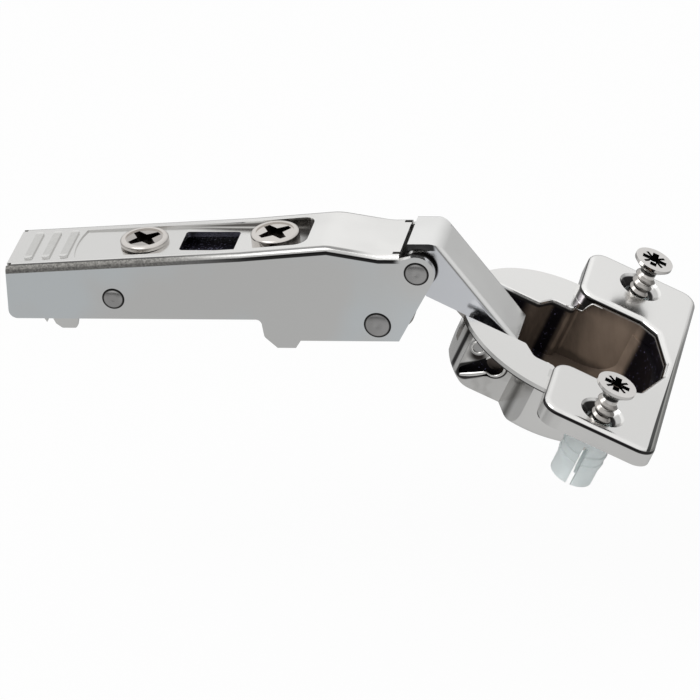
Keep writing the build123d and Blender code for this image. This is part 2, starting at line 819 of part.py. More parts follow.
with BuildPart() as cup:
    extrude(wing_plan.sketch, amount=wing_height)
    fillet(faces().sort_by(Axis((0, 0, 0), cup_dz))[-1].edges(), wing_edge_r)
    with BuildSketch(cup_plane):
        add(wing_plan.sketch_local)
        offset(amount=-cup_sheet, mode=Mode.REPLACE)
    extrude(amount=wing_height - cup_sheet, mode=Mode.SUBTRACT)
    with BuildSketch(cup_plane):
        with Locations((fixing_x, fixing_spacing / 2), (fixing_x, -fixing_spacing / 2)):
            Circle(boss_r)
    extrude(amount=wing_height - cup_sheet / 2)
    add(rim.part)
    add(pot.part)
    add(nose.part)
    add(cavity.part, mode=Mode.SUBTRACT)
    with BuildSketch(cup_plane.offset(notch_z)):
        with Locations((nose_end, 0)):
            Rectangle(4 * cup_sheet, notch_width)
    extrude(amount=-2 * notch_z, mode=Mode.SUBTRACT)
    with BuildSketch(cup_side):
        with Locations(inner_cup_pin, outer_cup_pin):
            Circle(cup_pin_r + press_fit)
    extrude(amount=pot_r, both=True, mode=Mode.SUBTRACT)
    with BuildSketch(cup_side.offset(nose_half - pocket_depth)):
        with Locations(outer_cup_pin):
            Circle(pocket_r)
        with Locations(pocket_tip):
            Circle(pocket_tip_r)
        make_hull()
    extrude(amount=2 * pocket_depth, mode=Mode.SUBTRACT)
    with BuildSketch(cup_side.offset(-nose_half + pocket_depth)):
        with Locations(outer_cup_pin):
            Circle(pocket_r)
        with Locations(pocket_tip):
            Circle(pocket_tip_r)
        make_hull()
    extrude(amount=-2 * pocket_depth, mode=Mode.SUBTRACT)
    with BuildSketch(cup_plane):
        with Locations((fixing_x, fixing_spacing / 2), (fixing_x, -fixing_spacing / 2)):
            Circle(dowel_r + press_fit)
    extrude(amount=dowel_seat, mode=Mode.SUBTRACT)
    with BuildSketch(cup_plane.offset(wing_height)):
        with Locations((fixing_x, fixing_spacing / 2), (fixing_x, -fixing_spacing / 2)):
            Circle(dimple_r)
    extrude(amount=-(wing_height - dowel_seat), taper=45, mode=Mode.SUBTRACT)
    with BuildSketch(cup_plane.offset(wing_height)):
        with Locations((fixing_x, fixing_spacing / 2), (fixing_x, -fixing_spacing / 2)):
            Circle(cup_screw_r + 3 * running_fit)
    extrude(amount=-wing_height, mode=Mode.SUBTRACT)
finish(cup, "cup")

# Cup pins: one across the nose for the inner link, two stubs for the outer link's eyes
with BuildPart() as cup_inner_pin:
    with BuildSketch(cup_side):
        with Locations(inner_cup_pin):
            Circle(cup_pin_r)
    extrude(amount=nose_half, both=True)
finish(cup_inner_pin, "cup_inner_pin")

stub_inner = inner_half_width + 2 * wall_gap
for side, side_name in ((1, "near"), (-1, "far")):
    with BuildPart() as cup_outer_pin:
        with BuildSketch(cup_side.offset(side * stub_inner)):
            with Locations(outer_cup_pin):
                Circle(cup_pin_r)
        extrude(amount=side * (nose_half - pocket_depth - stub_inner))
    finish(cup_outer_pin, f"cup_outer_pin_{side_name}")

# Cup fixings: a barbed dowel and a countersunk screw at each end of the wing plate
dowel_end = dowel_seat - dowel_length
barb_start = -dowel_barb_pitch
dowel_bore_r = cup_screw_r + thread_gap
dowel_profile = [
    (dowel_bore_r, dowel_seat - dowel_flare),
    (dowel_bore_r + dowel_flare, dowel_seat),
    (dowel_r, dowel_seat),
    (dowel_r, barb_start),
]
for i in range(dowel_barbs):
    barb_z = barb_start - i * dowel_barb_pitch
    dowel_profile.append((dowel_r, barb_z - dowel_barb))
    dowel_profile.append((dowel_r - 2 * dowel_barb, barb_z - dowel_barb_pitch))
dowel_profile += [
    (dowel_r - 2 * dowel_barb, dowel_end + dowel_barb_pitch / 2),
    (dowel_bore_r + 2 * dowel_barb, dowel_end),
    (dowel_bore_r, dowel_end),
]
screw_base = cup_screw_top - cup_screw_length
screw_neck = cup_screw_top - cup_screw_head_height
screw_profile = [
    (0, cup_screw_top),
    (cup_screw_head_r, cup_screw_top),
    (cup_screw_head_r, cup_screw_top - cup_screw_head_height / 4),
    (cup_screw_core_r, screw_neck),
    (cup_screw_core_r, screw_base + cup_screw_tip),
    (cup_screw_core_r / 4, screw_base),
    (0, screw_base),
]
for side, side_name in ((-1, "near"), (1, "far")):
    fixing_at = cup_plane.from_local_coords(Vector(fixing_x, side * fixing_spacing / 2, 0))
    fixing_side = Plane(origin=fixing_at, x_dir=cup_dx, z_dir=(0, -1, 0))
    fixing_axis = Axis(fixing_at, cup_dz)
    with BuildPart() as dowel:
        with BuildSketch(fixing_side):
            with BuildLine():
                Polyline(*dowel_profile, close=True)
            make_face()
        revolve(axis=fixing_axis)
        with BuildSketch(Plane(origin=fixing_at, x_dir=cup_dx, z_dir=cup_dz).offset(dowel_end)):
            Rectangle(dowel_slit, 3 * dowel_r)
        extrude(amount=dowel_length - dowel_seat + barb_start, mode=Mode.SUBTRACT)
    finish(dowel, f"dowel_{side_name}")
    with BuildPart() as cup_screw:
        with BuildSketch(fixing_side):
            with BuildLine():
                Polyline(*screw_profile, close=True)
            make_face()
        revolve(axis=fixing_axis)
        with BuildSketch(Plane(origin=fixing_at, x_dir=cup_dx, z_dir=cup_dz).offset(cup_screw_top)):
            Rectangle(cup_recess_length, cup_recess_width)
            Rectangle(cup_recess_width, cup_recess_length)
            Circle(cup_recess_width)
        extrude(amount=-cup_recess_depth, mode=Mode.SUBTRACT)
        with BuildSketch(Plane(origin=fixing_at, x_dir=cup_dx, z_dir=cup_dz).offset(cup_screw_top)):
            Rectangle(cup_tick_length, cup_tick_width, rotation=45)
            Rectangle(cup_tick_length, cup_tick_width, rotation=-45)
        extrude(amount=-cup_tick_depth, mode=Mode.SUBTRACT)
    finish(cup_screw, f"cup_screw_{side_name}")
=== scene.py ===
"""Concealed cabinet hinge on a pale floor: plated finishes with painted light and shade, and small pressed
details round the solids.
"""

import math

import bmesh
import bpy
import numpy as np
from mathutils import Matrix, Vector


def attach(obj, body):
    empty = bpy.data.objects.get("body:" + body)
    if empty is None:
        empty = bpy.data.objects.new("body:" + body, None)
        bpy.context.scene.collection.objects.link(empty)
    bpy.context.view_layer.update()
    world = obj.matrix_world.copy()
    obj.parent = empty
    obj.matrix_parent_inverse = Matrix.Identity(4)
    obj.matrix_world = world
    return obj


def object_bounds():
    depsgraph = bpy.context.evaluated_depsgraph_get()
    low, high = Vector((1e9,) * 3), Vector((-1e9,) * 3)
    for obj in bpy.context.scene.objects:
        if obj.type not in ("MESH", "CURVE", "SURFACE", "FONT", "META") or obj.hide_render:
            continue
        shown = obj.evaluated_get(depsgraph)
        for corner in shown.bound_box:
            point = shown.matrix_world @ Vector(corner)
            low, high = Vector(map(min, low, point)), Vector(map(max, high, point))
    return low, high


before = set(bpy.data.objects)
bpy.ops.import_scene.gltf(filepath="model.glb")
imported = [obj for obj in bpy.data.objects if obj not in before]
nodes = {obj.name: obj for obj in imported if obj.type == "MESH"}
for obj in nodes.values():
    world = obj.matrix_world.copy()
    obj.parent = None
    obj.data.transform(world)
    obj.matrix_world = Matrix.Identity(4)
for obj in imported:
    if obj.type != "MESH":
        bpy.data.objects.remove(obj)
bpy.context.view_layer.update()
MM = 0.001
SAME_POINT = 1e-7
ENDS = (("near", -1), ("far", 1))

# The arm, in millimetres; a pin is its X, its Z and its radius
ARM_HALF = 7.3
ARM_INSIDE = (6.1, 6.28)
FOLD_R = 1.1
FOLD_INNER = ARM_HALF - FOLD_R
# Depths of the fold's foot, where a black reflection is painted
FOLD_FOOT = (0.68, 1.36)
FOLD_FOOT_END = (44.5, 46.0)
FOLD_DULL_SHADE_END = (2.0, 24.0)
RAIL = [(-23.1, 9.9), (18.1, 12.4), (33.2, 13.75), (42.0, 12.15)]
RIDGES = (-19.7, -16.55, -13.4)
RIDGE_REAR = 0.65
RIDGE_FRONT = 0.7
RIDGE_HALF = 4.8
TROUGH_HALF = 5.15
TROUGH_REAR = 2.0
TROUGH_FRONT = 29.3
TROUGH_SLOPE = 1.6
FLOOR_Z = 11.25
OUTER_PIN = (48.39, 8.85, 1.95)
INNER_PIN = (40.86, -0.90, 2.15)
LEVER_PIN = (-4.71, 3.87, 1.75)
ARM_PINS = {"outer": OUTER_PIN, "inner": INNER_PIN, "lever": LEVER_PIN}
PIN_PROUD = 0.12
PIN_DOME = 0.26
PIN_DENT = 0.1
PIN_DENT_SHARE = 0.28
PIN_EDGE = 0.2
LINK_HALF = 5.23
EAR_EDGE = (3.25, 3.55)
TONGUE_UNDER = (12.05, 12.25)
TONGUE_FRONT = (51.2, 51.8)
OVERLAY_X = 23.0
CAM_TOP = 12.1
OVERLAY_TOP = 13.25
ARM_RECESS = (3.1, 0.24)

# The cup, in millimetres of its own frame: X from the middle of its mouth, away from the arm, and Z up
CUP_CENTRE = (71.02, -7.56)
CUP_TILT = math.radians(28)
CUP_AXIS = (math.sin(CUP_TILT), math.cos(CUP_TILT))
CUP_INNER_PIN = (-12.94, -2.63)
CUP_OUTER_PIN = (-9.11, -4.63)
INNER_COLLAR = (1.05, 0.2)
OUTER_COLLAR = (1.85, 0.3)
OUTER_COLLAR_TURN = (math.radians(-115), math.radians(165))
# Radii of the dark rings round the pins' collars: seams with painted shade
INNER_SEAM_SHADE = (1.22, 1.5)
OUTER_SEAM_SHADE = (2.1, 2.4)
NOSE_HALF = 9.6
NOSE_LINE = -15.5
NOSE_FRONT = (-15.9, -15.6)
NOSE_INNER_HALF = 8.3
# Middle of a dark spot of painted shade on the nose wall
SHADE_SPOT_CENTRE = (-12.4, -4.1)
POCKET_TIP = (-13.3, -7.9)
POCKET_RUN = (0.788, 0.615)
POCKET_LENGTH = 2.4
POCKET_X = (-14.6, -7.0)
POCKET_Z = (-9.2, -2.6)
POCKET_WALL = 1.65
BAR_START = (-13.9, -8.9)
BAR_END = (-9.7, -6.2)
BAR_SAG = 0.15
BAR_R = 0.42
SHOULDER_X = -5.8
BOWL_TURN = (12.9, -6.05)
BOWL_R = 4.05
POT_INNER_R = 16.5
MOUTH_HALF = 12.2
MOUTH_REAR = 0.8
RIM_CEILING = 0.4
WING_RISE = 2.0
WING_UNDER = (2.52, 3.06)
WING_BEND = 18.95
WING_BEND_Z = (3.0, 3.1)
WING_TOP = (3.3, 3.45)
FIXING = (9.5, 22.5)
DIMPLE_R = 3.9
DIMPLE_Z = (0.5, 3.4)
CUP_SCREW_TOP = 9.56
CUP_SCREW_NECK = 7.26
CUP_SCREW_CORE = 1.45
CUP_SCREW_SHADE = (0.55, 2.75)
CUP_RECESS = (2.75, 0.08)
THREAD_R = 1.95
THREAD_PITCH = 1.4
THREAD_HALF = 0.42
THREAD_DROP = 0.5
THREAD_TURNS = 6
THREAD_RUN_OUT = math.radians(120)
LIP_RUN = (-1.6, 4.6)
LIP_OUTWARDS = (-1.5, 1.5)
LIP_UPWARDS = (1.4, 2.8)
LIP_STEP = 1.8
LIP_RIM = 0.8
LIP_WING = 2.15
LIP_BAR = 0.22
SILL_R = 17.85
SILL_WIDTH = 1.4
SILL_Z = -0.2
SILL_THICK = 0.34
SILL_REACH = math.radians(50)


def paint(red, green, blue):
    """A linear colour from the usual values of 0 to 255."""
    shares = (value / 255 for value in (red, green, blue))
    return tuple(c / 12.92 if c <= 0.04 else ((c + 0.055) / 1.055) ** 2.4 for c in shares)


def shaded(tone, share):
    """A colour times a share."""
    return tuple(c * share for c in tone)


def on_cup(x, y, z):
    """A point of the cup's own frame as a point of the arm's frame, in millimetres; arrays are welcome."""
    sin, cos = CUP_AXIS
    ahead = CUP_CENTRE[0] + x * cos + z * sin
    upward = CUP_CENTRE[1] - x * sin + z * cos
    return np.stack(np.broadcast_arrays(ahead, y, upward), -1)


class Sock:
    """One shader value; sums and products of these add Math nodes to the same tree."""

    def __init__(self, tree, socket):
        self.tree = tree
        self.socket = socket

    def node(self, kind, settings=None, inputs=None, out=0):
        """Add a node: its settings are set first, then each socket's value or link; returns one output."""
        made = self.tree.nodes.new(kind)
        for key, value in (settings or {}).items():
            setattr(made, key, value)
        for key, value in (inputs or {}).items():
            if isinstance(value, Sock):
                self.tree.links.new(value.socket, made.inputs[key])
            else:
                made.inputs[key].default_value = value
        return Sock(self.tree, made.outputs[out]) if made.outputs else made

    def other(self, name):
        """Another output of the same node."""
        return Sock(self.tree, self.socket.node.outputs[name])

    def math(self, operation, *others):
        values = dict(enumerate((self,) + others))
        return self.node("ShaderNodeMath", {"operation": operation}, values)

    def __add__(self, other):
        return self.math("ADD", other)

    __radd__ = __add__

    def __sub__(self, other):
        return self.math("SUBTRACT", other)

    def __rsub__(self, other):
        return self.node("ShaderNodeMath", {"operation": "SUBTRACT"}, {0: other, 1: self})

    def __mul__(self, other):
        return self.math("MULTIPLY", other)

    __rmul__ = __mul__

    def __truediv__(self, other):
        return self.math("DIVIDE", other)

    def __neg__(self):
        return self * -1.0

    def __abs__(self):
        return self.math("ABSOLUTE")

    def __pow__(self, other):
        return self.math("POWER", other)

    def least(self, other):
        return self.math("MINIMUM", other)

    def most(self, other):
        return self.math("MAXIMUM", other)

    def rise(self, low, high):
        """0 below low, 1 above high, smooth between."""
        return self.node(
            "ShaderNodeMapRange",
            {"interpolation_type": "SMOOTHSTEP"},
            {"Value": self, "From Min": low, "From Max": high},
        )

    def fall(self, low, high):
        """1 below low, 0 above high, smooth between."""
        return 1 - self.rise(low, high)

    def band(self, low, high, soft):
        """1 between low and high, with soft edges."""
        return self.rise(low - soft, low + soft) * self.fall(high - soft, high + soft)


def length(first, second):
    """Root of the sum of two squares."""
    return (first**2.0 + second**2.0) ** 0.5


class Finish:
    """A procedural material with the piece's own coordinates in millimetres."""

    def __init__(self, name):
        self.material = bpy.data.materials.new(name)
        self.material.use_nodes = True
        tree = self.material.node_tree
        tree.nodes.clear()
        self.root = Sock(tree, None)
        self.shader = tree.nodes.new("ShaderNodeBsdfPrincipled")
        output = tree.nodes.new("ShaderNodeOutputMaterial")
        tree.links.new(self.shader.outputs[0], output.inputs["Surface"])
        self.place = self.root.node("ShaderNodeTexCoord", out="Object")
        split = self.root.node("ShaderNodeSeparateXYZ", inputs={0: self.place})
        self.x, self.y, self.z = (split.other(axis) / MM for axis in "XYZ")
        self.side = abs(self.y)

    def set(self, **values):
        """Uniform numbers go straight on the shader's sockets, varying ones are linked."""
        for key, value in values.items():
            socket = self.shader.inputs[key.replace("_", " ")]
            if isinstance(value, Sock):
                self.root.tree.links.new(value.socket, socket)
            else:
                socket.default_value = value
        return self

    def noise(self, per_mm, detail=3.0, roughness=0.5, stretch=(1, 1, 1)):
        """Cloudy noise around 0.5, per_mm features to the millimetre, stretched along the axes."""
        scaled = self.root.node(
            "ShaderNodeMapping", inputs={"Vector": self.place, "Scale": [s / MM for s in stretch]}
        )
        return self.root.node(
            "ShaderNodeTexNoise",
            inputs={"Vector": scaled, "Scale": per_mm, "Detail": detail, "Roughness": roughness},
        )

    def mix(self, factor, first, second):
        """Blend of two colours by a value."""
        return self.root.node(
            "ShaderNodeMix",
            {"data_type": "RGBA", "clamp_factor": True},
            {0: factor, 6: self.colour(first), 7: self.colour(second)},
            out=2,
        )

    @staticmethod
    def colour(value):
        return value if isinstance(value, Sock) else (*value, 1.0)

    def layer(self, factor, colour):
        """Lay a colour over the base where factor is 1."""
        self.base = self.mix(factor, self.base, colour)
        return self.set(Base_Color=self.base)

    def bump(self, height, strength, distance):
        return self.root.node(
            "ShaderNodeBump", inputs={"Height": height, "Strength": strength, "Distance": distance}
        )

    def from_axis(self, x0, z0):
        """Distance from a line along Y through x0, z0."""
        return length(self.x - x0, self.z - z0)

    def cup_place(self):
        """The cup's own X and Z, from the arm's."""
        dx = self.x - CUP_CENTRE[0]
        dz = self.z - CUP_CENTRE[1]
        sin, cos = CUP_AXIS
        return dx * cos - dz * sin, dx * sin + dz * cos


NICKEL = (0.84, 0.835, 0.82)
LINK_NICKEL = (0.83, 0.83, 0.82)
WALL_BLUE = (0.80, 0.84, 0.86)
WALL_GREY = (0.80, 0.80, 0.79)
FLANGE_BLUE = (0.84, 0.86, 0.90)
# Near-black for painted shade and painted dark reflections, and for seams
SHADE_AND_SEAM_BLACK = (0.012, 0.011, 0.011)
# Speckled greys, painted dark as shade along the rear of the arm's fold
SPECKLED_SHADE = paint(84, 82, 78)
PALE_SPECKLED_SHADE = paint(150, 148, 143)
# Grey of the painted shade on the grip ridges
RIDGE_SHADE = paint(165, 165, 160)
TROUGH_SHADE = paint(52, 46, 42)
# Painted shade on the nose walls: soft patches and a dark spot
NOSE_WALL_SHADE = paint(140, 137, 132)
DARK_SPOT_SHADE = paint(38, 32, 30)
SHOULDER_SHADE = paint(70, 68, 62)
# Painted highlight on the lip's roll, and painted reflections at the wing's bend
ROLL_HIGHLIGHT = paint(165, 160, 165)
BEND_REFLECTION_GREY = paint(158, 158, 154)
BEND_REFLECTION_BLACK = paint(40, 42, 40)
# Brown of the painted shade in the screws' driver recesses
RECESS_SHADE = paint(40, 33, 30)
WINDOW_SPECK = paint(190, 190, 220)
TAUPE = (0.37, 0.28, 0.215)
# Near-black with pale specks, painted shade at the ends of the cup's inside
CUP_BLACK = paint(10, 6, 12)
CUP_STAR = paint(120, 116, 150)
DULL_STEEL = (0.66, 0.63, 0.60)
SCREW_STEEL = (0.76, 0.74, 0.72)
LINK_STEEL = (0.42, 0.40, 0.38)
MILK = (0.84, 0.93, 0.93)
PALE_MILK = (0.91, 0.98, 0.98)


def plated(name, tone=NICKEL, rough=0.2):
    """Bright nickel plate: faint clouds of tone, fine rolling marks and a slightly uneven gloss."""
    coat = Finish(name)
    clouds = coat.noise(0.08, 2.0)
    grain = coat.noise(2.2, 3.0, 0.6, (0.25, 1, 1))
    coat.base = coat.mix(clouds.rise(0.35, 0.7), tone, shaded(tone, 0.94))
    coat.gloss = rough + (grain - 0.5) * 0.08 + (clouds - 0.5) * 0.05
    coat.set(Metallic=1.0, Roughness=coat.gloss, Base_Color=coat.base)
    return coat.set(Normal=coat.bump(grain, 0.04, 0.00002))


def below_rail(coat):
    """Depth under the arm's top edge, which rises to the bend, climbs to the hump and falls to the dip."""
    rear, bend, hump, dip = RAIL
    rise, climb, drop = ((b[1] - a[1]) / (b[0] - a[0]) for a, b in zip(RAIL, RAIL[1:]))
    straight = (coat.x - rear[0]) * rise + rear[1]
    crest = ((coat.x - hump[0]) * climb + hump[1]).least((coat.x - hump[0]) * drop + hump[1])
    rail = straight + (crest.most(dip[1]) - straight) * coat.x.rise(bend[0], bend[0] + 0.4)
    return rail - coat.z


def paint_fold(coat, depth):
    """The arm's rounded upper edge, with painted light: matt, speckled and painted dark as shade at the rear,
    painted shade over the crest to soften its highlight, and a painted black reflection along its foot ahead.

    Returns where the plate is matt and painted as shade.
    """
    fold = coat.side.rise(FOLD_INNER - 0.1, FOLD_INNER + 0.25)
    rear = coat.x.fall(*FOLD_DULL_SHADE_END)
    dull_and_shaded = fold * depth.band(0.05, FOLD_FOOT[1], 0.05) * rear
    speckle = coat.noise(2.6, 4.0, 0.75)
    # Painted shade: the matt rear of the fold speckled dark
    coat.layer(dull_and_shaded * 0.96, coat.mix(speckle.rise(0.38, 0.64), SPECKLED_SHADE, PALE_SPECKLED_SHADE))
    # Painted shade: a thin dark line at the top of the fold's rear
    coat.layer(fold * depth.band(0.02, 0.14, 0.02) * rear * 0.8, SHADE_AND_SEAM_BLACK)
    # Painted reflection: a black line along the fold's foot, standing in for the dark surroundings it mirrors
    foot = depth.band(*FOLD_FOOT, 0.07) * (0.4 + coat.x.rise(0.0, 22.0) * 0.57)
    coat.layer(fold * foot * coat.x.fall(*FOLD_FOOT_END), SHADE_AND_SEAM_BLACK)
    # Painted shade over the crest, softening its highlight
    crest = fold * coat.x.rise(6.0, 20.0) * coat.x.fall(36.0, 42.0)
    edge = depth.band(0.0, 0.22, 0.05) * 0.3 + depth.band(0.0, 0.7, 0.05) * 0.35
    coat.layer(crest * edge, SHADE_AND_SEAM_BLACK)
    return dull_and_shaded


def paint_ridges(coat, depth):
    """The three grip ridges at the rear, a little grey with painted shade; returns where their ends are matt.
    """
    ridge = 0.0
    for x0 in RIDGES:
        ridge = coat.x.band(x0 - RIDGE_REAR, x0 + RIDGE_FRONT, 0.12) + ridge
    # Painted shade on the ridges, patchy in strength
    ridge_shade = 0.2 + coat.noise(2.6, 4.0, 0.75).rise(0.4, 0.6) * 0.2
    coat.layer(ridge * coat.side.fall(RIDGE_HALF - 0.4, RIDGE_HALF) * depth.fall(0.1, 0.2) * ridge_shade, RIDGE_SHADE)
    rounding = coat.side.band(RIDGE_HALF - 0.75, RIDGE_HALF + 0.1, 0.1)
    return ridge.rise(0.1, 0.5) * rounding * depth.fall(0.05, 0.2)


def arm_finish():
    """Plate of the arm, with painted light: a dark speckled fold at the rear, its top painted darker as shade
    towards the rear, seams round the pin ends drawn as painted shade, painted shade in the trough and a dark
    inside painted as shade.
    """
    coat = plated("plated_arm")
    depth = below_rail(coat)
    wall = coat.side.rise(ARM_HALF - 0.1, ARM_HALF - 0.02)
    clouds = coat.noise(0.05, 2.0)
    coat.layer(wall, coat.mix(clouds.rise(0.4, 0.6), WALL_BLUE, WALL_GREY))
    # Painted shade: the top darker towards the rear, holding down its highlight
    top = coat.side.fall(FOLD_INNER - 0.1, FOLD_INNER + 0.1)
    coat.layer(top * coat.x.fall(5.0, 33.0) * 0.85, shaded(NICKEL, 0.78))
    dull_and_shaded = paint_fold(coat, depth)
    ridge_ends = paint_ridges(coat, depth)
    coat.set(Metallic=1 - dull_and_shaded.most(ridge_ends) * 0.9, Roughness=coat.gloss + dull_and_shaded * 0.3)
    # Seams round the pin ends, widened into painted shade
    ring = 0.0
    for x0, z0, radius in ARM_PINS.values():
        ring = coat.from_axis(x0, z0).band(radius - 0.1, radius + 0.2, 0.05) + ring
    coat.layer(ring * wall, SHADE_AND_SEAM_BLACK)
    flank = coat.side.band(TROUGH_HALF - 0.12, TROUGH_HALF + 0.05, 0.05)
    flank = flank * coat.x.band(TROUGH_REAR, TROUGH_FRONT, 2.0)
    front = coat.x.band(TROUGH_FRONT - TROUGH_SLOPE, TROUGH_FRONT + 0.05, 0.4)
    front = front * coat.side.fall(TROUGH_HALF, TROUGH_HALF + 0.1)
    steep = flank.most(front) * depth.rise(0.12, 0.5) * (coat.z - FLOOR_Z).rise(0.02, 0.3)
    coat.layer(steep * 0.85, TROUGH_SHADE)
    # Painted shade deep inside the arm
    inside = coat.side.fall(*ARM_INSIDE) * depth.rise(1.6, 2.2)
    return coat.layer(inside * 0.85, SHADE_AND_SEAM_BLACK)


def paint_nose(coat, x, z):
    """The nose, with painted shade: walls painted darker in soft patches, a dark spot and a dark pocket,
    seams round the pins drawn as painted shade, a dark shoulder and a dark line at its front.

    Returns where the two walls are.
    """
    wall = x.fall(SHOULDER_X - 0.1, SHOULDER_X + 0.1) * coat.side.rise(NOSE_HALF - 0.15, NOSE_HALF - 0.02)
    # Painted shade in soft patches on the walls, standing in for dark reflections
    patches = coat.noise(0.3, 2.0)
    coat.layer(wall * z.fall(-0.3, -0.1) * (0.2 + patches.rise(0.4, 0.6) * 0.2), NOSE_WALL_SHADE)
    # Painted shade: a dark spot above the pocket, deepening its hollow
    shade_spot = length((x - SHADE_SPOT_CENTRE[0]) * 0.8, z - SHADE_SPOT_CENTRE[1])
    coat.layer(wall * shade_spot.fall(0.5, 1.9) * 0.98, DARK_SPOT_SHADE)
    # Painted shade in the pocket
    tip_x, tip_z = x - POCKET_TIP[0], z - POCKET_TIP[1]
    run = (tip_x * POCKET_RUN[0] + tip_z * POCKET_RUN[1]).most(0.0).least(POCKET_LENGTH)
    beside = length(tip_x - run * POCKET_RUN[0], tip_z - run * POCKET_RUN[1])
    coat.layer(wall * beside.fall(1.45, 1.75) * 0.95, SHADE_AND_SEAM_BLACK)
    # Seams round the pins' collars, drawn as painted shade
    outer = length(x - CUP_OUTER_PIN[0], z - CUP_OUTER_PIN[1])
    right = (x - CUP_OUTER_PIN[0]).rise(-1.6, -0.8)
    coat.layer(wall * outer.band(*OUTER_SEAM_SHADE, 0.08) * right * 0.95, SHADE_AND_SEAM_BLACK)
    inner = length(x - CUP_INNER_PIN[0], z - CUP_INNER_PIN[1])
    coat.layer(wall * inner.band(*INNER_SEAM_SHADE, 0.08) * 0.97, SHADE_AND_SEAM_BLACK)
    shoulder = x.band(SHOULDER_X + 1.1, SHOULDER_X + 2.0, 0.5) * coat.side.rise(NOSE_HALF, NOSE_HALF + 0.5)
    coat.layer(shoulder * z.fall(-0.4, 0.0) * 0.75, SHOULDER_SHADE)
    # Painted shade on the pocket's inner walls
    thickness = coat.side.band(NOSE_HALF - POCKET_WALL, NOSE_HALF - 0.12, 0.05)
    coat.layer(thickness * x.band(*POCKET_X, 0.1) * z.band(*POCKET_Z, 0.1), SHADE_AND_SEAM_BLACK)
    # Painted shade: a dark line at the nose's front corner
    corner = x.band(NOSE_LINE - 0.3, NOSE_LINE + 0.3, 0.15) * coat.side.rise(5.5, 6.0)
    coat.layer(corner * z.fall(-0.3, -0.1), SHADE_AND_SEAM_BLACK)
    return wall


def paint_inside(coat, x, z, away):
    """The cup's inside, within its walls, bowl and mouth, with painted light: brown painted paler towards the
    front, black with pale specks at its ends as painted shade, and a painted shadow line under the rim.
    """
    limit = (NOSE_INNER_HALF + (x - SHOULDER_X).most(0.0) * 1.3).least(MOUTH_HALF + 0.5)
    shelf = x.rise(10.5, 11.5) * z.rise(-0.3, -0.1) * 2.0
    bowl = length((away - BOWL_TURN[0]).most(0.0), (z - BOWL_TURN[1]).least(0.0))
    ceiling = RIM_CEILING + x.rise(MOUTH_REAR - 0.6, MOUTH_REAR - 0.2) * WING_RISE
    inside = (coat.side - limit).fall(-0.1, 0.1) * (bowl - shelf).fall(BOWL_R - 0.05, BOWL_R + 0.05)
    inside = inside * (z - ceiling).fall(-0.3, 0.2) * x.rise(*NOSE_FRONT)
    streak = coat.noise(0.5, 3.0, 0.6, (1, 1, 0.3))
    # Painted light inside the cup: paler towards the front, darker under the rim, at the bottom and at the
    # far end, with streaks
    lightness = x.rise(-2.0, 9.0) * 0.95 - (z - ceiling).rise(-2.5, 0.2) * 0.5 + (streak - 0.5) * 0.8
    lightness = lightness - z.fall(-9.3, -7.5) * 0.8 - x.rise(9.5, 12.0) * 0.25
    # Painted highlights along two creases
    crease = x.band(-0.6, 0.0, 0.15).most(x.band(0.7, 1.1, 0.12)) * 0.35
    brown = coat.mix(lightness + crease, shaded(TAUPE, 0.3), TAUPE)
    star = coat.noise(2.2, 2.0, 0.7).rise(0.66, 0.72)
    black = coat.mix(star, CUP_BLACK, CUP_STAR)
    # Painted shade: black at the ends of the inside
    dark_end = x.rise(12.0, 13.2).most(x.band(-3.4, -1.0, 0.5)).most(x.fall(-8.5, -6.5))
    coat.layer(inside, coat.mix(dark_end, brown, black))
    # Painted shadow under the rim
    coat.layer(inside * (z - ceiling).rise(-0.8, -0.5) * x.fall(0.2, 0.5) * 0.95, SHADE_AND_SEAM_BLACK)
    coat.set(Metallic=1 - inside * 0.85, Roughness=0.2 + inside * 0.35, Specular_IOR_Level=0.2)


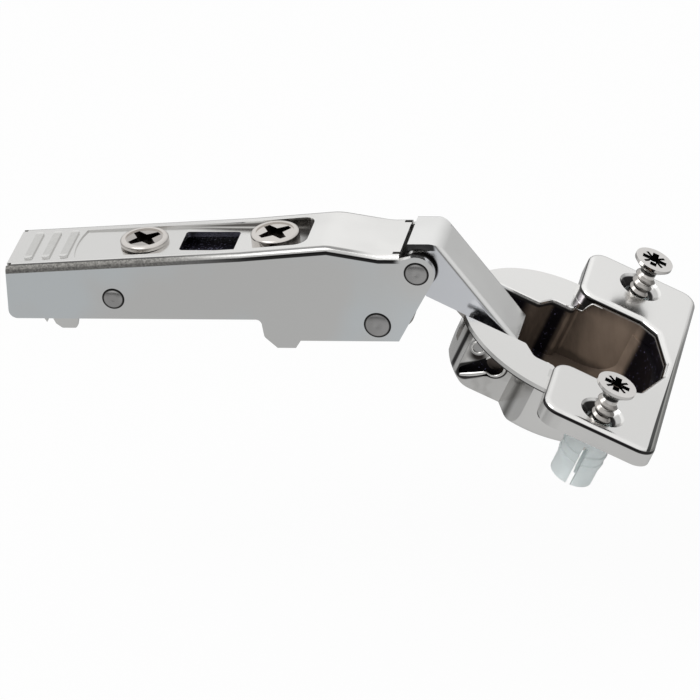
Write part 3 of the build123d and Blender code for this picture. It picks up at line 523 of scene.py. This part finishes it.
def paint_wings(coat, x, z):
    """The wing plate, with painted light: painted shade in the fixing holes, a painted black reflection under
    its edge, a painted highlight with shade on the roll at the lip, painted shade above the lip, and a dark
    end of painted reflections.
    """
    # Painted shade in the fixing holes, darkest on their rear side
    hole = length(x - FIXING[0], coat.side - FIXING[1])
    shade = hole.fall(DIMPLE_R - 0.5, DIMPLE_R - 0.3) * (0.35 + (x - FIXING[0]).fall(-0.5, 0.9) * 0.64)
    shade = shade.most(hole.fall(DIMPLE_R - 1.2, DIMPLE_R - 0.9))
    coat.layer(shade * z.band(*DIMPLE_Z, 0.1) * 0.99, SHADE_AND_SEAM_BLACK)
    # Painted reflection: a black line under the wing's edge
    coat.layer(z.band(*WING_UNDER, 0.06) * hole.rise(DIMPLE_R + 0.4, DIMPLE_R + 0.6) * 0.97, SHADE_AND_SEAM_BLACK)
    # Painted highlight and shade on the roll at the lip
    roll = coat.side.band(MOUTH_HALF - 0.2, MOUTH_HALF + 2.4, 0.1) * x.band(-0.8, 1.7, 0.1)
    coat.layer(roll * z.band(0.95, 2.6, 0.1) * 0.95, coat.mix(x.band(0.0, 0.9, 0.2), SHADE_AND_SEAM_BLACK, ROLL_HIGHLIGHT))
    # Painted shade above the lip
    above_lip = (z - x.rise(*LIP_UPWARDS) * LIP_WING).rise(0.0, 0.1) * x.band(0.7, 2.9, 0.1)
    at_mouth = coat.side.fall(MOUTH_HALF + 0.3, MOUTH_HALF + 0.4)
    coat.layer(above_lip * z.fall(2.6, 2.7) * at_mouth * 0.97, SHADE_AND_SEAM_BLACK)
    # Painted reflections at the wing's bent end: a grey band and a dark line, fading out towards the far side
    bend = x.rise(WING_BEND - 0.05, WING_BEND + 0.1) * z.rise(*WING_BEND_Z)
    coat.layer(bend * coat.y.fall(6.0, 18.0) * 0.85, BEND_REFLECTION_GREY)
    line = (x - WING_BEND + coat.y.fall(-26.0, 10.0) * 0.55).rise(-0.05, 0.05)
    line = line * x.fall(WING_BEND, WING_BEND + 0.1) * z.rise(*WING_BEND_Z)
    coat.layer(line * coat.y.fall(4.0, 10.0) * 0.95, BEND_REFLECTION_BLACK)


def cup_finish():
    """Plate of the cup, with painted light: upper faces paler towards the far side, a nose marked with
    painted shade, and a dark inside and dark holes painted as shade.
    """
    coat = plated("plated_cup")
    x, z = coat.cup_place()
    away = length(x, coat.y)
    # Painted light: the upper faces darker on the near side, paler on the far side
    upper = z.rise(*WING_TOP).most(z.rise(-0.1, 0.1) * x.fall(3.0, 4.0))
    coat.layer(upper, coat.mix(coat.y.rise(-14.0, 14.0), shaded(NICKEL, 0.94), shaded(NICKEL, 1.06)))
    wall = paint_nose(coat, x, z)
    # Painted shadow under the rim
    under_rim = z.band(-0.05, 0.2, 0.05) * (away - POT_INNER_R).rise(0.0, 0.2).most(wall)
    coat.layer(under_rim * x.fall(0.0, 0.4) * 0.95, SHADE_AND_SEAM_BLACK)
    paint_inside(coat, x, z, away)
    paint_wings(coat, x, z)
    return coat


def screw_finish(name, head, axis, recess, tone, neck=None):
    """Bright screw with a driver recess painted dark as shade; head is the middle of its top, axis its X and
    Z direction.

    recess gives the radius that the recess stays within and the depth at which it starts, neck the depths
    between which the underside of the head is painted dark as shade.
    """
    coat = plated(name, tone, 0.13)
    along = (coat.x - head[0]) * axis[0] + (coat.z - head[2]) * axis[1]
    across = (coat.x - head[0]) * axis[1] - (coat.z - head[2]) * axis[0]
    radius = length(across, coat.y - head[1])
    reach, start = recess
    # Painted shade in the driver recess
    hollow = along.fall(-start - 0.2, -start) * along.rise(-2.0, -1.8) * radius.fall(reach, reach + 0.1)
    coat.layer(hollow * 0.93, RECESS_SHADE)
    # Painted shade under the head
    if neck:
        coat.layer(along.band(-neck[1], -neck[0], 0.12) * radius.rise(1.2, 1.3) * 0.97, SHADE_AND_SEAM_BLACK)
    return coat


def link_finish():
    """Plate of the outer link, with painted shade where its flange runs in behind the arm's ear and under the
    tongue.
    """
    coat = plated("plated_link", LINK_NICKEL)
    flange = coat.side.rise(LINK_HALF - 0.1, LINK_HALF - 0.03)
    near_ear = coat.from_axis(OUTER_PIN[0], OUTER_PIN[1]).fall(*EAR_EDGE)
    tongue = coat.z.rise(*TONGUE_UNDER) * coat.x.fall(*TONGUE_FRONT)
    coat.layer(flange, FLANGE_BLUE)
    # Painted shade behind the ear and under the tongue
    return coat.layer(flange * near_ear.most(tongue) * 0.95, SHADE_AND_SEAM_BLACK)


def dowel_finish():
    """Milky moulded plastic, a little see-through."""
    coat = Finish("milky_dowel")
    coat.set(Base_Color=coat.mix(coat.noise(0.3, 2.0), MILK, PALE_MILK), Roughness=0.35, Metallic=0.0)
    coat.set(Transmission_Weight=0.35, Subsurface_Weight=0.6)
    return coat.set(Subsurface_Radius=(1.0, 1.0, 1.0), Subsurface_Scale=0.003)


def carriage_finish():
    """Near-black steel with bright specks, seen through the window of the arm; its near-black is painted
    shade in the window.
    """
    coat = plated("dark_carriage", (0.02, 0.019, 0.03), 0.5)
    speck = coat.noise(2.4, 2.0, 0.8).rise(0.6, 0.66)
    return coat.layer(speck, WINDOW_SPECK)


def pin_finish():
    """Turned steel of the pins, with painted shade in a groove inside the edge of each riveted end."""
    coat = plated("pin_steel", (0.46, 0.455, 0.45), 0.28)
    end = coat.side.rise(ARM_HALF - 0.05, ARM_HALF)
    groove = 0.0
    for x0, z0, radius in ARM_PINS.values():
        away = coat.from_axis(x0, z0)
        groove = away.rise(radius - 0.22, radius - 0.08) * away.fall(radius, radius + 0.2) + groove
    # Painted shade in the grooves
    return coat.layer(groove * end * 0.85, SHADE_AND_SEAM_BLACK)


def surface(name, points, body, finish, loops=(False, False)):
    """A smooth piece from a grid of points in millimetres; loops says which ways the grid closes on itself.

    Points that meet at a pole are joined.
    """
    rows, columns = points.shape[:2]
    grid = np.arange(rows * columns).reshape(rows, columns)
    if loops[0]:
        grid = np.vstack([grid, grid[:1]])
    if loops[1]:
        grid = np.hstack([grid, grid[:, :1]])
    faces = np.stack([grid[:-1, :-1], grid[1:, :-1], grid[1:, 1:], grid[:-1, 1:]], -1).reshape(-1, 4)
    mesh = bpy.data.meshes.new(name)
    mesh.from_pydata(points.reshape(-1, 3) * MM, [], faces.tolist())
    joined = bmesh.new()
    joined.from_mesh(mesh)
    bmesh.ops.remove_doubles(joined, verts=joined.verts, dist=SAME_POINT)
    joined.to_mesh(mesh)
    joined.free()
    mesh.polygons.foreach_set("use_smooth", np.ones(len(mesh.polygons), bool))
    mesh.materials.append(finish.material)
    piece = bpy.data.objects.new(name, mesh)
    bpy.context.scene.collection.objects.link(piece)
    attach(piece, body)


def round_trip(count):
    """Angles once round a circle, without the last that meets the first."""
    return np.linspace(0, 2 * np.pi, count, endpoint=False)


def smooth_step(value, low, high):
    """0 below low, 1 above high, and a cubic between."""
    share = np.clip((value - low) / (high - low), 0, 1)
    return share * share * (3 - 2 * share)


def drawn_in(count, bar):
    """Radii along a bar that close at both ends: its radius times the fourth root of a half sine."""
    half_sine = np.sin(np.linspace(0, np.pi, count))
    half_sine[-1] = 0.0
    return bar * half_sine**0.25


def tube(path, bar, sides=12):
    """A round bar along a path: circles square to the path's direction, drawn in at both ends."""
    ahead = np.gradient(path, axis=0)
    ahead /= np.linalg.norm(ahead, axis=1, keepdims=True)
    across = np.cross(ahead, (0.0, 1.0, 0.0))
    across /= np.linalg.norm(across, axis=1, keepdims=True)
    upward = np.cross(across, ahead)
    turn = round_trip(sides)[None, :, None]
    ring = np.cos(turn) * across[:, None] + np.sin(turn) * upward[:, None]
    return path[:, None] + ring * drawn_in(len(path), bar)[:, None, None]


def inner_pin_collar(level):
    """A ring on the nose wall: a circle of the bar's section swept round the pin, in the cup's X and Z."""
    radius, bar = INNER_COLLAR
    turn = round_trip(48)[:, None]
    section = round_trip(12)[None, :]
    reach = radius + bar * np.cos(section)
    x = CUP_INNER_PIN[0] + reach * np.cos(turn)
    z = CUP_INNER_PIN[1] + reach * np.sin(turn)
    return on_cup(x, level - bar * np.sin(section), z)


def outer_pin_collar(level):
    """A ring that is open at the left: an arc round the pin, as a bar with its ends drawn in."""
    radius, bar = OUTER_COLLAR
    turn = np.linspace(*OUTER_COLLAR_TURN, 60)
    x = CUP_OUTER_PIN[0] + radius * np.cos(turn)
    z = CUP_OUTER_PIN[1] + radius * np.sin(turn)
    return tube(on_cup(x, level, z), bar)


def pocket_bar(level):
    """A bar along the pocket's lower edge: a straight run that sags by a half sine, its ends drawn in."""
    along = np.linspace(0, 1, 40)
    x = BAR_START[0] + along * (BAR_END[0] - BAR_START[0])
    z = BAR_START[1] + along * (BAR_END[1] - BAR_START[1]) - BAR_SAG * np.sin(along * np.pi)
    return tube(on_cup(x, level, z), BAR_R)


def mouth_sill():
    """The ledge between the pot's wall and the mouth's corners: a flat ellipse round the cup's axis."""
    turn = np.linspace(-SILL_REACH, SILL_REACH, 64)[:, None]
    section = round_trip(16)[None, :]
    size = drawn_in(64, 1.0)[:, None]
    radius = SILL_R + SILL_WIDTH / 2 * size * np.cos(section)
    height = SILL_Z + SILL_THICK / 2 * size * np.sin(section)
    return on_cup(radius * np.cos(turn), radius * np.sin(turn), height)


def lip_roll(side):
    """The sheet's edge from rim to wing plate: one smooth step outwards and down, a steeper one up."""
    x = np.linspace(*LIP_RUN, 60)
    outwards = smooth_step(x, *LIP_OUTWARDS)
    y = MOUTH_HALF - LIP_STEP * (1 - outwards)
    z = LIP_RIM * (1 - outwards) + LIP_WING * smooth_step(x, *LIP_UPWARDS)
    return tube(on_cup(x, side * y, z), LIP_BAR)


def screw_thread(side):
    """A V ridge wound round the screw's core: its height follows the turn, and it runs out at both ends."""
    turns = np.linspace(0, THREAD_TURNS * 2 * np.pi, THREAD_TURNS * 36)[:, None]
    section = np.linspace(-1, 1, 7)[None, :]
    full = np.clip(np.minimum(turns, turns[-1] - turns) / THREAD_RUN_OUT, 0, 1)
    radius = CUP_SCREW_CORE + (THREAD_R - CUP_SCREW_CORE) * (1 - np.abs(section)) * full
    middle = CUP_SCREW_NECK - THREAD_DROP - THREAD_PITCH * turns / (2 * np.pi)
    height = middle + section * THREAD_PITCH * THREAD_HALF
    return on_cup(FIXING[0] + radius * np.cos(turns), side * FIXING[1] + radius * np.sin(turns), height)


def pin_dome(x0, z0, radius, side):
    """The riveted end of a pin: a low dome with a punched dent at its middle, round the pin's axis."""
    reach = np.linspace(0, 1, 24)[:, None]
    turn = -side * round_trip(48)[None, :]
    rise = PIN_PROUD + PIN_DOME * (1 - reach**3) - PIN_DENT * np.exp(-((reach / PIN_DENT_SHARE) ** 2))
    rim = reach * (radius - PIN_EDGE)
    level = side * (ARM_HALF + rise)
    return np.stack(np.broadcast_arrays(x0 + rim * np.cos(turn), level, z0 + rim * np.sin(turn)), -1)


# Finishes of the solids, with their painted light and shade
arm_screw = {"axis": (0, 1), "recess": ARM_RECESS, "tone": DULL_STEEL}
finishes = {
    "hinge_arm": arm_finish(),
    "cup": cup_finish(),
    "carriage": carriage_finish(),
    "outer_link": link_finish(),
    "link_washers": plated("dark_washers", (0.05, 0.045, 0.045), 0.4),
    "inner_link": plated("link_steel", LINK_STEEL, 0.35),
    "clip_lever": plated("lever_steel", (0.88, 0.88, 0.86), 0.25),
    "depth_cam_screw": screw_finish("cam_screw_steel", (0, 0, CAM_TOP), **arm_screw),
    "overlay_screw": screw_finish("overlay_screw_steel", (OVERLAY_X, 0, OVERLAY_TOP), **arm_screw),
}
for end, side in ENDS:
    screw_head = on_cup(FIXING[0], side * FIXING[1], CUP_SCREW_TOP).tolist()
    finishes["cup_screw_" + end] = screw_finish(
        end + "_screw_steel", screw_head, CUP_AXIS, CUP_RECESS, SCREW_STEEL, CUP_SCREW_SHADE
    )
spring = plated("spring_steel", (0.35, 0.34, 0.32), 0.35)
pin = pin_finish()
dark_pin = plated("dark_pin_steel", (0.10, 0.085, 0.075), 0.35)
dowel = dowel_finish()
for name, piece in nodes.items():
    if "spring" in name:
        finish = spring
    elif "dowel" in name:
        finish = dowel
    elif "cup_outer_pin" in name:
        finish = dark_pin
    elif "pin" in name:
        finish = pin
    else:
        finish = finishes[name]
    piece.data.materials.clear()
    piece.data.materials.append(finish.material)

# Rolled edges of the cup, screw threads and riveted pin ends
bright_steel = plated("bright_roll", (0.80, 0.79, 0.77), 0.12)
thread_steel = plated("thread_steel", LINK_STEEL, 0.2)
bar_loops = (False, True)
for end, side in ENDS:
    wall = side * NOSE_HALF
    surface("inner_pin_collar_" + end, inner_pin_collar(wall), "cup", bright_steel, (True, True))
    surface("outer_pin_collar_" + end, outer_pin_collar(wall), "cup", bright_steel, bar_loops)
    surface("pocket_bar_" + end, pocket_bar(wall), "cup", bright_steel, bar_loops)
    surface("lip_roll_" + end, lip_roll(side), "cup", bright_steel, bar_loops)
    surface("screw_thread_" + end, screw_thread(side), "cup_screw_" + end, thread_steel)
    for pin_name, (x0, z0, radius) in ARM_PINS.items():
        surface(pin_name + "_pin_dome_" + end, pin_dome(x0, z0, radius, side), "arm", pin, bar_loops)
surface("mouth_sill", mouth_sill(), "cup", finishes["cup"], bar_loops)

# Small rounding on the pressed edges
for node in nodes.values():
    softened = node.modifiers.new("edge_rounding", "BEVEL")
    softened.width = 0.12 * MM
    softened.segments = 2
    softened.limit_method = "ANGLE"
    softened.angle_limit = math.radians(35)
    softened.harden_normals = True

# The floor and the camera, in metres
FLOOR_GAP = 0.03
FLOOR_REACH = 1.5
NEAR_FLOOR = ((-0.34, -0.26), (-0.02, 0.06))
RIGHT_FLOOR = (0.012, 0.032)
CAMERA_LENS = 266.61
CAMERA_SENSOR = 36.0
CAMERA_RIGHT = (0.977997752, 0.187275704, -0.091914136)
CAMERA_DOWN = (0.007660226, -0.472532133, -0.881280151)
CAMERA_AHEAD = (-0.208474744, 0.861185923, -0.463569938)
CAMERA_STAND = (0.219081, -0.765004, 0.402164)
KEY_STAND = (-0.25, -0.25, 0.75)
KEY_AIM = (0.03, 0, 0)
KEY_SIZE = 0.5
KEY_POWER = 1.5
WHITE = (1, 1, 1, 1)
FLOOR_GREY = (0.8, 0.8, 0.8, 1)


def show_floor():
    """Pale floor: white to the camera, and grey in the metal's reflections, a little paler in front."""
    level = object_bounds()[0][2] - FLOOR_GAP
    reach = FLOOR_REACH
    corners = [(-reach, -reach), (reach, -reach), (reach, reach), (-reach, reach)]
    mesh = bpy.data.meshes.new("floor")
    mesh.from_pydata([(x, y, level) for x, y in corners], [], [(0, 1, 2, 3)])
    floor = bpy.data.objects.new("floor", mesh)
    bpy.context.scene.collection.objects.link(floor)
    material = bpy.data.materials.new("pale_floor")
    material.use_nodes = True
    tree = material.node_tree
    tree.nodes.clear()
    root = Sock(tree, None)
    rays = root.node("ShaderNodeLightPath", out="Is Camera Ray")
    seen = rays.most(rays.other("Is Transmission Ray"))
    mirrored = rays.other("Is Glossy Ray")
    place = root.node("ShaderNodeTexCoord", out="Object")
    x = root.node("ShaderNodeSeparateXYZ", inputs={0: place})
    y = x.other("Y")
    front, behind = NEAR_FLOOR
    near = y.fall(*behind) * y.rise(*front)
    in_metal = 0.32 + near * (0.15 + x.rise(*RIGHT_FLOOR) * 0.08)
    diffuse = root.node("ShaderNodeBsdfDiffuse", inputs={"Color": FLOOR_GREY})
    lightness = seen + mirrored * in_metal
    bright = root.node("ShaderNodeEmission", inputs={"Color": WHITE, "Strength": lightness})
    shown = seen.most(mirrored) * 0.93
    mixed = root.node("ShaderNodeMixShader", inputs={0: shown, 1: diffuse, 2: bright})
    root.node("ShaderNodeOutputMaterial", inputs={"Surface": mixed})
    mesh.materials.append(material)


def light_studio():
    """Soft studio round the hinge: bright above, dimmer behind at the right, a black card low in front."""
    world = bpy.data.worlds.new("studio")
    bpy.context.scene.world = world
    world.use_nodes = True
    tree = world.node_tree
    tree.nodes.clear()
    root = Sock(tree, None)
    place = root.node("ShaderNodeTexCoord", out="Generated")
    split = root.node("ShaderNodeSeparateXYZ", inputs={0: place})
    dx, dy, dz = (split.other(axis) for axis in "XYZ")
    above = 0.62 + dz.rise(0.05, 0.5) * 0.30 + dz.rise(0.6, 0.9) * 0.05
    back = dy.rise(0.0, 0.6) * dz.rise(0.15, 0.4)
    sky = above + back * (0.06 * dx.fall(-0.3, 0.6) - 0.10 * dx.rise(-0.1, 0.6))
    card = (-dy).rise(0.1, 0.5) * dz.band(-0.4, 0.2, 0.08) * dx.fall(0.45, 0.75)
    light = (sky * (1 - card * 0.9)).most(0.01)
    rays = root.node("ShaderNodeLightPath", out="Is Camera Ray")
    level = light + (1 - light) * rays
    shade = root.node("ShaderNodeBackground", inputs={"Color": WHITE, "Strength": level})
    root.node("ShaderNodeOutputWorld", inputs={"Surface": shade})


def hang_key_lamp():
    """One soft square lamp, high up on the near side of the arm's rear."""
    lamp = bpy.data.lights.new("key", "AREA")
    lamp.size = KEY_SIZE
    lamp.energy = KEY_POWER
    holder = bpy.data.objects.new("key", lamp)
    bpy.context.scene.collection.objects.link(holder)
    holder.location = KEY_STAND
    holder.rotation_euler = (Vector(KEY_AIM) - Vector(KEY_STAND)).to_track_quat("-Z", "Y").to_euler()


def stand_camera():
    """Camera at the photograph's place, from its right, down and ahead directions."""
    data = bpy.data.cameras.new("camera")
    data.sensor_width = CAMERA_SENSOR
    data.lens = CAMERA_LENS
    data.clip_start = 0.05
    data.clip_end = 10.0
    camera = bpy.data.objects.new("camera", data)
    bpy.context.scene.collection.objects.link(camera)
    columns = zip(CAMERA_RIGHT, CAMERA_DOWN, CAMERA_AHEAD, CAMERA_STAND)
    rows = [[right, -down, -ahead, stand] for right, down, ahead, stand in columns]
    camera.matrix_world = Matrix(rows + [[0, 0, 0, 1]])
    bpy.context.scene.camera = camera
    bpy.context.scene.view_settings.view_transform = "Standard"


show_floor()
light_studio()
hang_key_lamp()
stand_camera()
